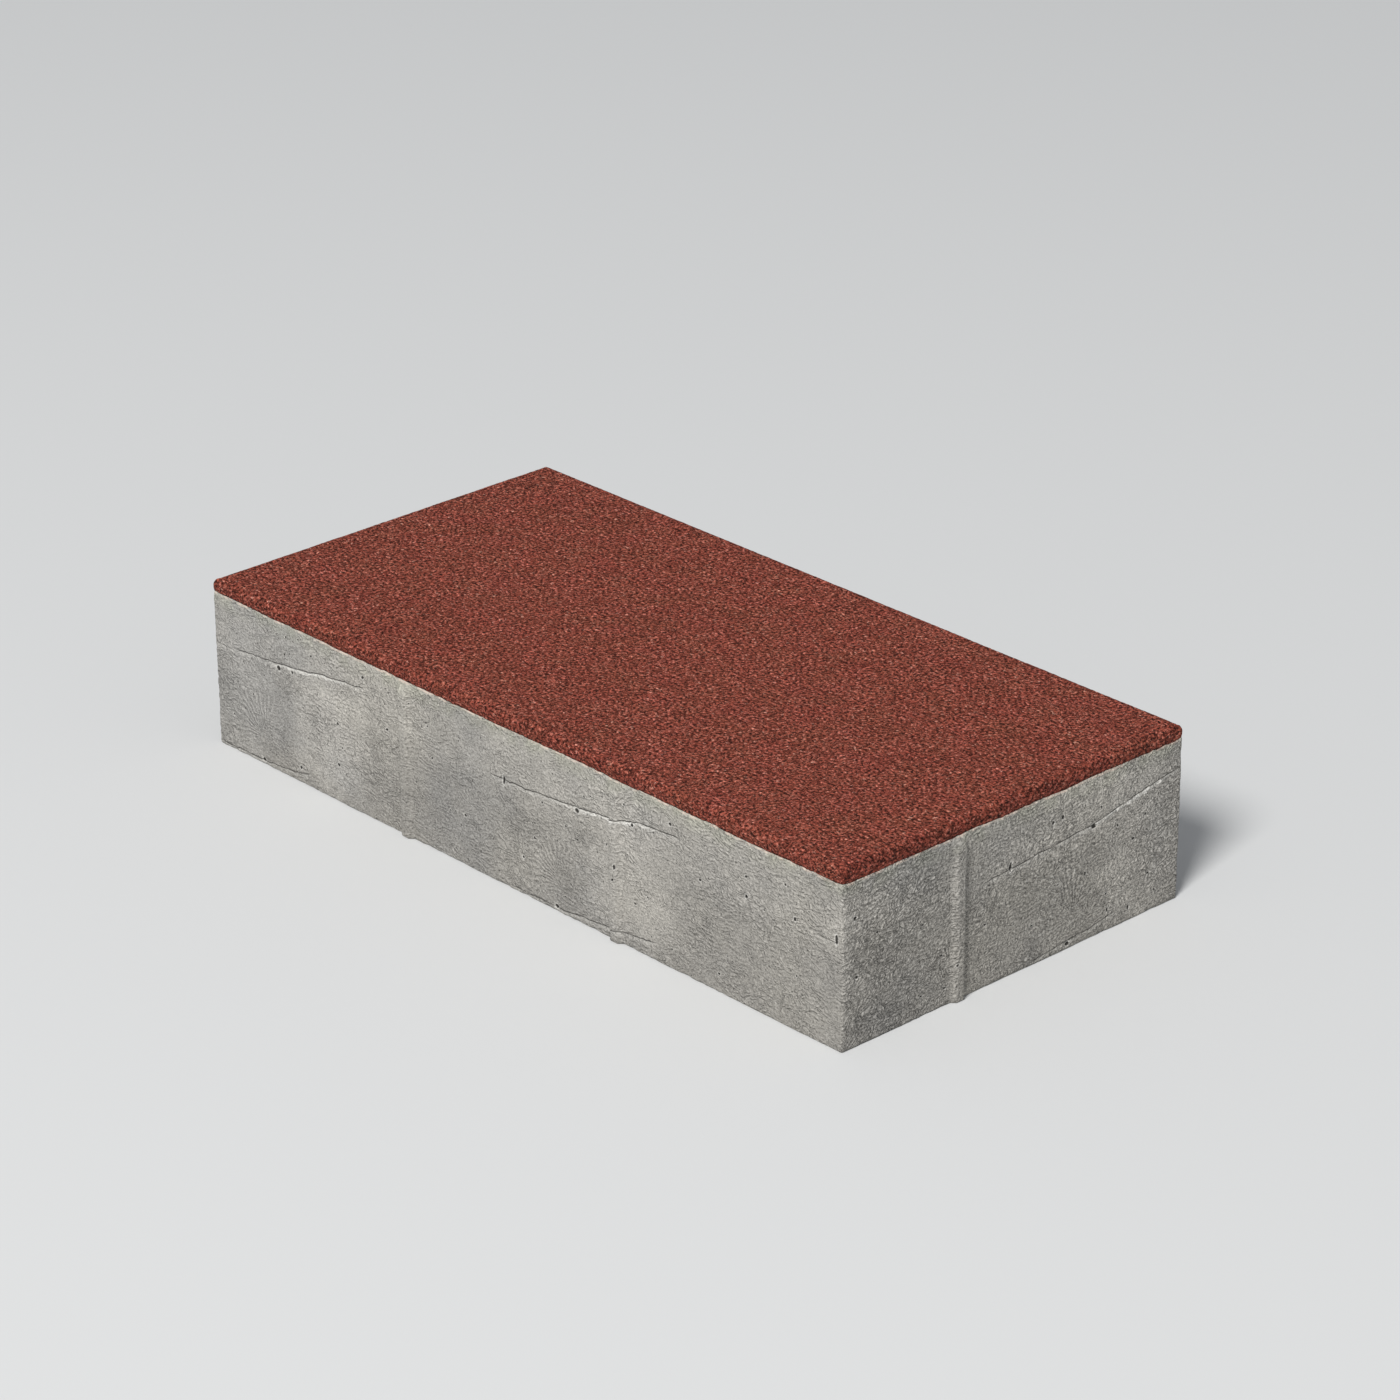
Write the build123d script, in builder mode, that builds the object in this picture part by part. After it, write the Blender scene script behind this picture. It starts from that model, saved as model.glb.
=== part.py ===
"""A rectangular concrete paving stone, 198 x 98 x 40 mm, moulded in two mixes.

The lower part is plain grey concrete. Its four sides carry upright spacer nibs that keep the joint
open between neighbouring stones, and over the nibs the stone measures 200 x 100 mm. The upper part is
a thin layer of red, fine-grained facing concrete. It was pressed onto the grey one while both were
fresh, so the two meet face to face over the whole stone.

Frame: +X along the long side, +Y across the stone, +Z up. The origin is the middle of the underside.
Sizes are in millimetres.
"""

import os

from build123d import *

# The stone, without its nibs
LENGTH = 198.0
WIDTH = 98.0
HEIGHT = 40.0
FACING_THICKNESS = 3.2
UPRIGHT_CORNER_RADIUS = 0.7
TOP_EDGE_RADIUS = 1.8
UNDERSIDE_BEVEL = 0.6

# The spacer nibs: low ridges with sloping flanks, seen from above a trapezoid
NIB_REACH = 1.0
NIB_BASE_WIDTH = 4.0
NIB_LAND_WIDTH = 2.0
NIB_EDGE_RADIUS = 0.4
# The red layer's edge lies this far above the top of a nib.
NIB_TOP_GAP = 0.3
# Over this height a nib runs out into the wall.
NIB_RUN_OUT = 2.2
# A nib is drawn this far into the stone, so that the two fuse.
NIB_ROOT = 2.0

# Where the nibs stand, on a grid of thirds of the laying size
LONG_SIDE_NIB_SPACING = 66.7
SHORT_SIDE_NIB_OFFSET = 16.7

grey_height = HEIGHT - FACING_THICKNESS
nib_height = grey_height - NIB_TOP_GAP

# Both layers share one outline, seen from above.
with BuildSketch() as outline:
    RectangleRounded(LENGTH, WIDTH, UPRIGHT_CORNER_RADIUS)

# One nib, made against a wall that lies in the plane X = 0, reaching towards +X.
# Its plan gives the sloping flanks. Its side view gives the run-out at the top and the bevel below.
with BuildPart() as nib:
    with BuildSketch() as nib_plan:
        with BuildLine():
            Polyline(
                (-NIB_ROOT, -NIB_BASE_WIDTH / 2),
                (0, -NIB_BASE_WIDTH / 2),
                (NIB_REACH, -NIB_LAND_WIDTH / 2),
                (NIB_REACH, NIB_LAND_WIDTH / 2),
                (0, NIB_BASE_WIDTH / 2),
                (-NIB_ROOT, NIB_BASE_WIDTH / 2),
                close=True,
            )
        make_face()
    extrude(amount=nib_height)
    outer_edges = nib.edges().filter_by(Axis.Z).group_by(Axis.X)[-1]
    fillet(outer_edges, NIB_EDGE_RADIUS)
    with BuildSketch(Plane.XZ) as nib_side_view:
        with BuildLine():
            Polyline(
                (-NIB_ROOT, 0),
                (NIB_REACH - UNDERSIDE_BEVEL, 0),
                (NIB_REACH, UNDERSIDE_BEVEL),
                (NIB_REACH, nib_height - NIB_RUN_OUT),
                (0, nib_height),
                (-NIB_ROOT, nib_height),
                close=True,
            )
        make_face()
    extrude(amount=NIB_BASE_WIDTH, both=True, mode=Mode.INTERSECT)

# The grey concrete. Turned half round on its base, it has its nibs in the same places again.
with BuildPart() as grey_concrete:
    add(outline.sketch)
    extrude(amount=grey_height)
    chamfer(grey_concrete.faces().sort_by(Axis.Z)[0].edges(), UNDERSIDE_BEVEL)
    for turn in (0, 180):
        end_wall = Location((0, 0, 0), (0, 0, turn))
        side_wall = Location((0, 0, 0), (0, 0, turn - 90))
        with Locations(end_wall * Location((LENGTH / 2, -SHORT_SIDE_NIB_OFFSET, 0))):
            add(nib.part)
        for place in (-LONG_SIDE_NIB_SPACING / 2, LONG_SIDE_NIB_SPACING / 2):
            with Locations(side_wall * Location((WIDTH / 2, place, 0))):
                add(nib.part)

# The red facing layer. The stamp that pressed it left its top edges rounded.
with BuildPart() as red_facing:
    with BuildSketch(Plane.XY.offset(grey_height)):
        add(outline.sketch)
    extrude(amount=FACING_THICKNESS)
    fillet(red_facing.faces().sort_by(Axis.Z)[-1].edges(), TOP_EDGE_RADIUS)

os.makedirs("parts", exist_ok=True)
for piece, name in ((grey_concrete, "grey_concrete"), (red_facing, "red_facing")):
    piece.part.label = name
    export_step(piece.part, f"parts/{name}.step")
    print(name, "volume", round(piece.part.volume), "mm3")
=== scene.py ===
# %% [markdown]
# # Dressing a two-layer concrete paving stone
# The real stone is pressed in a steel mould from two damp mixes. A grey one fills most of the mould, and
# a thin red one with finer sand goes on top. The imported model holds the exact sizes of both. This lesson
# gives them the surface of pressed concrete: grain, pits, scored lines, and the colours of the two mixes.

import math
import random

import bmesh
import bpy
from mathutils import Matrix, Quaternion, Vector, kdtree, noise


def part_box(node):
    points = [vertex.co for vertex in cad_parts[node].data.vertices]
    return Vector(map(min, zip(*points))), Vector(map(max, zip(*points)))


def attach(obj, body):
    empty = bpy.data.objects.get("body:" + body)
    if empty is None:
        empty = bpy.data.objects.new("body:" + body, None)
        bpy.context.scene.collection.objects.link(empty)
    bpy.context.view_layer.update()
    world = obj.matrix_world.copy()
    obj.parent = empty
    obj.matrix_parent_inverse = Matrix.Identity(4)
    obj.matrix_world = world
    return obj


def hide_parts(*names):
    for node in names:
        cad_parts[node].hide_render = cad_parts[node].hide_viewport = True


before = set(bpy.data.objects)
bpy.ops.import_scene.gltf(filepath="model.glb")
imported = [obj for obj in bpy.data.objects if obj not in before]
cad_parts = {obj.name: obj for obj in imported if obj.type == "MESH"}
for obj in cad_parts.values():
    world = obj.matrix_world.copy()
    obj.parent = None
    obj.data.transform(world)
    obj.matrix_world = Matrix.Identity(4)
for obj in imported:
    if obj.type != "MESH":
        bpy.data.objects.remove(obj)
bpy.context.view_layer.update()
MM = 0.001
print("nodes", sorted(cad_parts))

# %% [markdown]
# ## The camera
# A camera is matched to a photograph by its perspective. A fit to the stone's outline gave the direction,
# the distance and the focal length. The focal length comes out in pixels of the square picture, so the
# lens is that number as a share of the picture's width, times the width of the sensor.

# %% Place the camera
PICTURE_WIDTH = 1400
FOCAL_LENGTH_PIXELS = 4710.2
SENSOR_WIDTH_MM = 36.0
VIEW_AZIMUTH = math.radians(47.166)
VIEW_ELEVATION = math.radians(24.662)
VIEW_ROLL = math.radians(0.284)
VIEW_DISTANCE = 1024.23 * MM
LOOKED_AT = Vector((-9.732, 14.542, 20.0)) * MM

to_camera = Vector((
    math.sin(VIEW_AZIMUTH) * math.cos(VIEW_ELEVATION),
    -math.cos(VIEW_AZIMUTH) * math.cos(VIEW_ELEVATION),
    math.sin(VIEW_ELEVATION),
))
camera = bpy.data.objects.new("camera", bpy.data.cameras.new("camera"))
bpy.context.collection.objects.link(camera)
camera.data.sensor_width = SENSOR_WIDTH_MM
camera.data.lens = FOCAL_LENGTH_PIXELS / PICTURE_WIDTH * SENSOR_WIDTH_MM
camera.data.clip_start = 50 * MM
camera.location = LOOKED_AT + to_camera * VIEW_DISTANCE
camera.rotation_mode = "QUATERNION"
camera.rotation_quaternion = to_camera.to_track_quat("Z", "Y") @ Quaternion((0, 0, 1), -VIEW_ROLL)
bpy.context.scene.camera = camera
print("lens", round(camera.data.lens, 2), "mm")

# %% [markdown]
# ## Sizes shared by the two layers
# The red layer's box gives the walls of both layers, because only the grey one has nibs outside them. The
# line between the layers, called the seam here, is where the grey one ends.

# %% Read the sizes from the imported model
grey_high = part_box("grey_concrete")[1]
red_low, red_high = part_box("red_facing")
HALF_LENGTH = red_high.x
HALF_WIDTH = red_high.y
TOP = red_high.z
SEAM = red_low.z
NIB_REACH = grey_high.x - HALF_LENGTH
UPRIGHT_CORNER_RADIUS = 0.7 * MM
TOP_EDGE_RADIUS = 1.8 * MM
UNDERSIDE_EDGE_RADIUS = 0.6 * MM
print("walls", round(2 * HALF_LENGTH / MM, 2), "x", round(2 * HALF_WIDTH / MM, 2), "mm")
print("seam at", round(SEAM / MM, 2), "mm, nibs reach", round(NIB_REACH / MM, 2), "mm")

# %% [markdown]
# ## A block of small cells
# Relief needs vertices to move. A cube could get them from a Subdivision Surface modifier or from a voxel
# remesh, but both wander off the edges of the stone. Here a cube is stretched to the box, cut by planes
# where an edge or a nib will need a line of vertices, and then every span is divided evenly. Each face is
# a grid, and each line of the real shape has a row of cells that follows it.

# %% Make, cut and divide a block
CUT_TOLERANCE = 0.001 * MM
SAME_HEIGHT = 0.01 * MM


def make_block(low, high):
    block = bmesh.new()
    bmesh.ops.create_cube(block, size=1.0)
    bmesh.ops.scale(block, vec=high - low, verts=block.verts)
    bmesh.ops.translate(block, vec=(low + high) / 2, verts=block.verts)
    return block


def cut_block(block, axis, places):
    """Cuts a block right through, square to an axis, at each of the given places."""
    normal = Vector((0, 0, 0))
    normal[axis] = 1.0
    for place in places:
        everything = block.verts[:] + block.edges[:] + block.faces[:]
        middle = normal * place
        bmesh.ops.bisect_plane(block, geom=everything, dist=CUT_TOLERANCE, plane_co=middle, plane_no=normal)


def divide_edges(block, edges, pitch):
    """Divides each edge into equal steps of about one pitch. Edges of one length are divided together."""
    spans = {}
    for edge in edges:
        cuts = max(round(edge.calc_length() / pitch), 1) - 1
        spans.setdefault(cuts, []).append(edge)
    for cuts, span in spans.items():
        if cuts:
            bmesh.ops.subdivide_edges(block, edges=span, cuts=cuts)


def divide_block(block, pitch):
    """Divides the edges along X, then those along Y, then those along Z."""
    for axis in range(3):
        lengthways = []
        for edge in block.edges:
            step = edge.verts[1].co - edge.verts[0].co
            if abs(step[axis]) > 0.9 * step.length:
                lengthways.append(edge)
        divide_edges(block, lengthways, pitch)


def join_hidden_face(block, height):
    """Makes one flat polygon of the cells that lie in the seam, because nobody sees them."""
    hidden = [face for face in block.faces if abs(face.calc_center_median().z - height) < SAME_HEIGHT]
    bmesh.ops.dissolve_faces(block, faces=hidden, use_verts=True)


# %% [markdown]
# ## Rounded edges
# A bevel of such a fine grid would leave slivers. It is easier to move the vertices: near an edge, the
# two walls span a little square, and the square is drawn onto a quarter of a disc. What lies on the sides
# of the square then lies on the arc, and the cells between stay in order.

# %% Draw square corners onto round ones
def to_arc(first_depth, second_depth, radius):
    """Takes the depths of a point under two walls that meet, and gives them when that edge is round."""
    across, up = radius - first_depth, radius - second_depth
    if across <= 0 or up <= 0:
        return first_depth, second_depth
    shrink = max(across, up) / math.hypot(across, up)
    return radius - across * shrink, radius - up * shrink


def round_block(block, rim_height, rim_radius, upwards):
    """Rounds the edges round the flat face at rim_height, and then the four upright edges."""
    for vert in block.verts:
        depth_x = HALF_LENGTH - abs(vert.co.x)
        depth_y = HALF_WIDTH - abs(vert.co.y)
        depth_z = (rim_height - vert.co.z) * upwards
        new_depth_z = to_arc(min(depth_x, depth_y), depth_z, rim_radius)[1]
        depth_x = to_arc(depth_x, depth_z, rim_radius)[0]
        depth_y = to_arc(depth_y, depth_z, rim_radius)[0]
        depth_x, depth_y = to_arc(depth_x, depth_y, UPRIGHT_CORNER_RADIUS)
        vert.co.x = math.copysign(HALF_LENGTH - depth_x, vert.co.x)
        vert.co.y = math.copysign(HALF_WIDTH - depth_y, vert.co.y)
        vert.co.z = rim_height - new_depth_z * upwards


print("a corner of the top edge is drawn in by", round(to_arc(0, 0, TOP_EDGE_RADIUS)[0] / MM, 2), "mm")

# %% [markdown]
# ## The seam
# The mould is filled twice, so the line between the mixes isn't ruled. It wanders by a tenth or two of a
# millimetre, is ragged where grains cross it, and lifts a little at the corners, where the red mix is
# thinner. Both layers take their edge from one function, so they still meet. A shallow crease runs along
# it.

# %% Let the seam wander
SEAM_WAVE_LENGTH = 9 * MM
SEAM_WAVE_HEIGHT = 0.22 * MM
SEAM_RAG_LENGTH = 1.3 * MM
SEAM_RAG_HEIGHT = 0.22 * MM
CORNER_LIFT = 0.35 * MM
CORNER_LIFT_REACH = 2.5 * MM
CREASE_DEPTH = 0.10 * MM
CREASE_REACH = 0.7 * MM


def seam_shift(co):
    level = Vector((co.x, co.y, 0))
    wave = noise.noise(level / SEAM_WAVE_LENGTH) * SEAM_WAVE_HEIGHT
    wave += noise.noise(level / SEAM_RAG_LENGTH) * SEAM_RAG_HEIGHT
    corner_gap = math.hypot(HALF_LENGTH - abs(co.x), HALF_WIDTH - abs(co.y))
    return wave + CORNER_LIFT * max(0.0, 1 - corner_gap / CORNER_LIFT_REACH)


def move_seam(block, still_height):
    """Moves the seam's vertices up or down, and those between it and still_height by less and less."""
    for vert in block.verts:
        share = (vert.co.z - still_height) / (SEAM - still_height)
        if share > 0:
            vert.co.z += seam_shift(vert.co) * share


def crease(height):
    return -CREASE_DEPTH * max(0.0, 1 - abs(height - SEAM) / CREASE_REACH)


shifts = [seam_shift(Vector((along * MM, -HALF_WIDTH, SEAM))) / MM for along in range(-90, 91)]
print("on the front the seam wanders from", round(min(shifts), 2), "to", round(max(shifts), 2), "mm")

# %% [markdown]
# ## Relief
# Relief moves each vertex along its own normal, as a Displace modifier does. In code it can use several
# noises, marks at chosen places, and the height before the seam was moved. The vertices on the seam only
# move level, so that the layers stay together there. Nothing stands out of the underside, which lies on
# the floor.

# %% Push the surface in and out
def smooth_step(share):
    share = min(max(share, 0.0), 1.0)
    return share * share * (3 - 2 * share)


def push_surface(block, heights, relief):
    """Moves every vertex along its normal by what relief gives for its place, normal and height."""
    block.normal_update()
    moves = []
    for vert in block.verts:
        normal = vert.normal.copy()
        height = heights[vert.index]
        if abs(height - SEAM) < SAME_HEIGHT:
            normal.z = 0.0
            normal.normalize()
        moves.append((vert, normal * relief(vert.co, normal, height)))
    for vert, move in moves:
        vert.co += move


def number_vertices(block):
    """Gives the vertices fixed numbers, and keeps the height of each before any seam is moved."""
    block.verts.index_update()
    return [vert.co.z for vert in block.verts]


# %% [markdown]
# ## From a block to a piece
# A bmesh is only a workbench. Its faces are turned outwards, it becomes a mesh with a material and smooth
# shading, and the mesh becomes an object in the scene. The object is then told which body it rides on,
# and the packed solid that it stands in for is hidden. Both layers need that, so it is one function.

# %% Turn a block into a piece of the stone
def finish_piece(block, name, material, node):
    bmesh.ops.recalc_face_normals(block, faces=block.faces)
    mesh = bpy.data.meshes.new(name)
    block.to_mesh(mesh)
    block.free()
    mesh.materials.append(material)
    mesh.shade_smooth()
    piece = bpy.data.objects.new(name, mesh)
    bpy.context.collection.objects.link(piece)
    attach(piece, "root")
    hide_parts(node)
    triangles = sum(len(polygon.vertices) - 2 for polygon in mesh.polygons)
    print(name, "has", triangles, "triangles")


# %% [markdown]
# ## Helpers for materials
# A node material is a chain of small steps. These helpers add one node each and give its inputs a value
# or a link, so that a material reads from top to bottom. Sizes are in metres, because the textures read
# the object's own coordinates.

# %% Add nodes
def add_node(tree, kind, inputs, **options):
    node = tree.nodes.new(kind)
    for option, value in options.items():
        setattr(node, option, value)
    for socket, value in inputs.items():
        if isinstance(value, bpy.types.NodeSocket):
            tree.links.new(value, node.inputs[socket])
        else:
            node.inputs[socket].default_value = value
    return node


def calculate(tree, operation, *values):
    """One step of arithmetic."""
    return add_node(tree, "ShaderNodeMath", dict(enumerate(values)), operation=operation).outputs[0]


def ramp(tree, value, *stops):
    """A colour ramp. Each stop is a place from 0 to 1, with a colour or a grey level."""
    node = add_node(tree, "ShaderNodeValToRGB", {"Fac": value})
    points = node.color_ramp.elements
    while len(points) < len(stops):
        points.new(0.5)
    for point, (place, tint) in zip(points, stops):
        point.position = place
        point.color = (*tint, 1.0) if isinstance(tint, tuple) else (tint, tint, tint, 1.0)
    return node.outputs["Color"]


def cloud(tree, place, size, detail, roughness, distortion=0.0):
    """A noise with features about one size wide."""
    inputs = {"Vector": place, "Scale": 1 / size, "Detail": detail, "Roughness": roughness}
    inputs["Distortion"] = distortion
    return add_node(tree, "ShaderNodeTexNoise", inputs).outputs[0]


def stretch(tree, place, scale):
    """Scales the coordinates. More than 1 makes a pattern shorter that way, less than 1 longer."""
    return add_node(tree, "ShaderNodeMapping", {"Vector": place, "Scale": scale}).outputs[0]


def blend(tree, share, first, second, mode="MIX"):
    """Mixes two colours. A colour is a link or three numbers, and share a link or a number."""
    inputs = {0: share}
    inputs[6] = first if isinstance(first, bpy.types.NodeSocket) else (*first, 1.0)
    inputs[7] = second if isinstance(second, bpy.types.NodeSocket) else (*second, 1.0)
    return add_node(tree, "ShaderNodeMix", inputs, data_type="RGBA", blend_type=mode).outputs[2]


def shade(tree, colour, value, *stops):
    """Multiplies a colour by a ramp."""
    return blend(tree, 1.0, colour, ramp(tree, value, *stops), "MULTIPLY")


def brighten(tree, colour, factors):
    """Multiplies a colour by fixed factors, to make good the light that the ramps took."""
    return blend(tree, 1.0, colour, factors, "MULTIPLY")


def pile_up(tree, height, *marks):
    """Adds marks to a height, each by its own share."""
    for mark, share in marks:
        height = calculate(tree, "MULTIPLY_ADD", mark, share, height)
    return height


def coordinates(tree):
    return add_node(tree, "ShaderNodeTexCoord", {}).outputs["Object"]


def length_of(tree, vector):
    return add_node(tree, "ShaderNodeVectorMath", {0: vector}, operation="LENGTH").outputs["Value"]


def new_material(name, roughness, gloss):
    material = bpy.data.materials.new(name)
    material.use_nodes = True
    shader = material.node_tree.nodes["Principled BSDF"]
    shader.inputs["Roughness"].default_value = roughness
    shader.inputs["Specular IOR Level"].default_value = gloss
    return material, material.node_tree, shader


def add_bump(tree, shader, height, distance):
    bump = add_node(tree, "ShaderNodeBump", {"Strength": 1.0, "Distance": distance, "Height": height})
    tree.links.new(bump.outputs["Normal"], shader.inputs["Normal"])


# %% [markdown]
# ## The red facing
# Red oxide colours the facing right through. Seen close, it is sharp sand: most grains are dull red, some
# are lighter, very few are bare and pale, and the gaps between them are painted dark, as the shade that
# falls in them. A Voronoi texture gives one random number to each cell, so each grain gets a colour of its
# own. Slow noise makes patches that are redder or browner. The facing's sides are painted a little darker,
# as shade, so that under the lamp they look no lighter than the top.

# %% Mix the red facing's colour
RED_GRAIN = 0.49 * MM
RED_GAP_PAINTED_SHADE = (0.036, 0.009, 0.005)
RED_DEEP = (0.135, 0.028, 0.017)
RED_BODY = (0.275, 0.070, 0.046)
RED_LIGHT = (0.460, 0.157, 0.114)
RED_PALE = (0.540, 0.260, 0.200)
RED_BRIGHTENING = (2.94, 2.81, 2.72)
RED_SQUASH = (1, 1, 1.5)
RED_GAP_SIZE = 0.68 * MM
RED_CLOUD = 8 * MM
RED_BUMP = 0.30 * MM
RED_GAP_SHARE = 1.6
# How much painted shade darkens the rim, by the depth under the top
RED_SIDE_PAINTED_SHADE = ((1.6 * MM, 0.73), (0.5 * MM, 0.80), (0.05 * MM, 1.0))


def make_red_material():
    material, tree, shader = new_material("pressed_red_facing", 0.9, 0.15)
    place = coordinates(tree)
    pressed = stretch(tree, place, RED_SQUASH)
    grains = add_node(tree, "ShaderNodeTexVoronoi", {"Vector": pressed, "Scale": 1 / RED_GRAIN})
    lot = add_node(tree, "ShaderNodeSeparateColor", {"Color": grains.outputs["Color"]}).outputs[0]
    lots = ((0.0, RED_DEEP), (0.40, RED_BODY), (0.70, RED_BODY), (0.98, RED_LIGHT), (1.0, RED_PALE))
    colour = ramp(tree, lot, *lots)
    # Painted shade: the gaps between grains are near black, and the low parts of the grain darker, as the
    # bump's hollows would be in shade.
    gaps = cloud(tree, pressed, RED_GAP_SIZE, 5.0, 0.80)
    colour = blend(tree, ramp(tree, gaps, (0.39, 1.0), (0.50, 0.0)), colour, RED_GAP_PAINTED_SHADE)
    colour = shade(tree, colour, gaps, (0.46, 0.19), (0.66, 1.0))
    colour = brighten(tree, colour, RED_BRIGHTENING)
    rust = cloud(tree, place, RED_CLOUD, 3.0, 0.5)
    colour = shade(tree, colour, rust, (0.32, (0.96, 1.03, 0.98)), (0.68, (1.04, 0.98, 1.02)))
    # Painted shade: the facing's sides are darkened so that they look no lighter than the top under the
    # lamp.
    height_up = add_node(tree, "ShaderNodeSeparateXYZ", {"Vector": place}).outputs["Z"]
    tones = [(1 - depth / TOP, tone) for depth, tone in RED_SIDE_PAINTED_SHADE]
    colour = shade(tree, colour, calculate(tree, "DIVIDE", height_up, TOP), *tones)
    tree.links.new(colour, shader.inputs["Base Color"])
    domes = calculate(tree, "SUBTRACT", 1.0, grains.outputs["Distance"])
    add_bump(tree, shader, pile_up(tree, domes, (gaps, RED_GAP_SHARE)), RED_BUMP)
    return material


# %% [markdown]
# ## The red facing's shape
# A block gets rows of cells along its edges for the rounding, then the edges are rounded, the seam is
# moved and the sand is pushed up. The sand is a Voronoi noise, whose cells are like packed grains, with a
# little random grit. The colour alone would look flat at the rim, where the grains stand against the
# light.

# %% Make the red facing
RED_CELL = 0.5 * MM
RED_EDGE_ROWS = (0.35 * MM, 0.7 * MM)
RED_SAND = 0.95 * MM
RED_SAND_HEIGHT = 0.09 * MM
RED_SAND_MIDDLE = 0.42
RED_GRIT_HEIGHT = 0.03 * MM
RED_WAVE_LENGTH = 11 * MM
RED_WAVE_HEIGHT = 0.05 * MM
RED_INSET = 0.06 * MM
sand_draw = random.Random(11)


def red_relief(co, normal, height):
    nearest = noise.voronoi(co / RED_SAND)[0][0]
    sand = (RED_SAND_MIDDLE - nearest) * RED_SAND_HEIGHT
    wave = noise.noise(co / RED_WAVE_LENGTH) * RED_WAVE_HEIGHT
    grit = sand_draw.uniform(-RED_GRIT_HEIGHT, RED_GRIT_HEIGHT)
    return sand + wave + grit + crease(height) - RED_INSET


facing = make_block(red_low, red_high)
cut_block(facing, 0, [side * (HALF_LENGTH - row) for side in (-1, 1) for row in RED_EDGE_ROWS])
cut_block(facing, 1, [side * (HALF_WIDTH - row) for side in (-1, 1) for row in RED_EDGE_ROWS])
divide_block(facing, RED_CELL)
join_hidden_face(facing, SEAM)
facing_heights = number_vertices(facing)
round_block(facing, TOP, TOP_EDGE_RADIUS, 1)
move_seam(facing, TOP)
push_surface(facing, facing_heights, red_relief)
finish_piece(facing, "red_facing_layer", make_red_material(), "red_facing")

# %% [markdown]
# ## Marks on the grey walls
# As the mould was drawn off, hard grains dragged across the walls and scored fine lines, each with a
# raised lip below. Air left small pits, and some are upright slots. The marks of the two walls in view
# are listed, in millimetres along the wall and up it, with a depth for each line, from 0 to 1, and a
# radius for each pit. A hidden wall gets those of the wall across from it, mirrored.

# %% Say where the marks are
WALL_TWINS = {"back": "front", "left": "right"}
SCORED_LINES = {
    "front": (
        (0.9, ((-93, 25.2), (-89.7, 25.4), (-74, 26.8), (-60.4, 28.9), (-46, 30.5))),
        (1.0, ((-6, 24.7), (1, 24.7), (9, 25.3), (24, 26.6), (34, 27.9), (40, 29.5), (54, 30.4))),
        (0.5, ((91, 23.8), (99, 23.9))),
        (0.8, ((-99, 0.9), (-84, 1.0), (-72, 1.9), (-66, 3.4))),
        (0.8, ((0, 0.9), (16, 1.0), (31, 2.4), (46, 4.2))),
    ),
    "right": (
        (0.6, ((-49, 30.2), (-44, 30.3))),
        (0.35, ((-40, 23.2), (-21, 24.5))),
        (1.0, ((-10, 23.7), (0, 24.3), (9.3, 25.1), (22.7, 26.1), (35.2, 28.5), (49, 30.6))),
        (0.9, ((2.7, 0.9), (21.8, 2.4), (31, 3.9))),
    ),
}
PLACED_PITS = {
    "front": (
        (-76.4, 25.5, 0.62), (-83.1, 1.2, 0.50), (21.4, 25.5, 0.62), (14.7, 1.2, 0.50),
        (-39.5, 23.2, 0.32), (58.3, 23.2, 0.32), (-93.3, 8.9, 0.30), (-91.0, 10.6, 0.24),
        (-86.1, 16.0, 0.22), (-74.1, 29.5, 0.28), (-72.1, 30.3, 0.22), (-69.2, 34.6, 0.24),
        (-54.9, 13.6, 0.24), (-64.7, 32.1, 0.24), (-19.0, 11.4, 0.26), (4.5, 8.9, 0.30),
        (11.7, 16.0, 0.22), (23.7, 29.5, 0.28), (25.7, 30.3, 0.22), (42.9, 13.6, 0.26),
        (36.0, 32.1, 0.24), (63.9, 4.3, 0.26), (71.7, 28.9, 0.28),
    ),
    "right": (
        (22.5, 25.5, 0.62), (15.5, 1.2, 0.50), (34.7, 18.6, 0.34), (24.4, 29.3, 0.26),
        (39.6, 9.0, 0.30), (4.8, 9.1, 0.30), (9.7, 8.8, 0.24), (12.1, 15.8, 0.24),
        (26.7, 8.7, 0.26), (29.6, 34.6, 0.24), (-26.7, 20.6, 0.26), (-9.0, 14.3, 0.26),
        (-21.3, 11.8, 0.26), (-26.9, 4.6, 0.26), (-39.4, 23.5, 0.28),
    ),
}
PLACED_SLOTS = {"front": ((-1.4, 24.6), (97.2, 24.6)), "right": ((-1.8, 24.6),)}
# A lip and its painted highlight are strongest at these places along a wall, and grow between these
# heights, in millimetres.
LIP_PLACES = (-66, 32)
LIP_HALF_LENGTH = 13
LIP_HEIGHTS = (8, 20)
print(sum(len(lines) for lines in SCORED_LINES.values()), "scored lines on the walls in view")
print(sum(len(placed) for placed in PLACED_PITS.values()), "placed pits on them")


def find_wall(co):
    """Names the wall in view that has this point's marks, and how far along it the point lies.

    Seen from outside, a point on the back wall lies at -x, and mirrored at x. So both walls of a pair
    give the same place."""
    if HALF_WIDTH - abs(co.y) < HALF_LENGTH - abs(co.x):
        return "front", co.x
    return "right", co.y


# %% [markdown]
# ## The gap to a scored line
# A scored line could be cut into the mesh as edges, but it is far thinner than the cells. So each place
# on a wall is told how high it lies over the nearest line, and the relief and the material draw the
# groove from that. The dragged grain trembled and bit in unevenly, so noise shifts the line and weakens
# parts of it.

# %% Measure the gap to a scored line
SCORE_WANDER_LENGTH = 4 * MM
SCORE_WANDER = 0.30 * MM
SCORE_TREMOR_LENGTH = 1.2 * MM
SCORE_TREMOR = 0.16 * MM
SCORE_PATCH_LENGTH = 3 * MM
SCORE_FADE = 4 * MM
NO_SCORE = 6 * MM


def line_height(points, along):
    """The height of a line of points at a place along the wall, or None beyond its ends."""
    for (start, low), (end, high) in zip(points, points[1:]):
        if start * MM <= along <= end * MM:
            share = (along / MM - start) / (end - start)
            return (low + (high - low) * share) * MM
    return None


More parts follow.
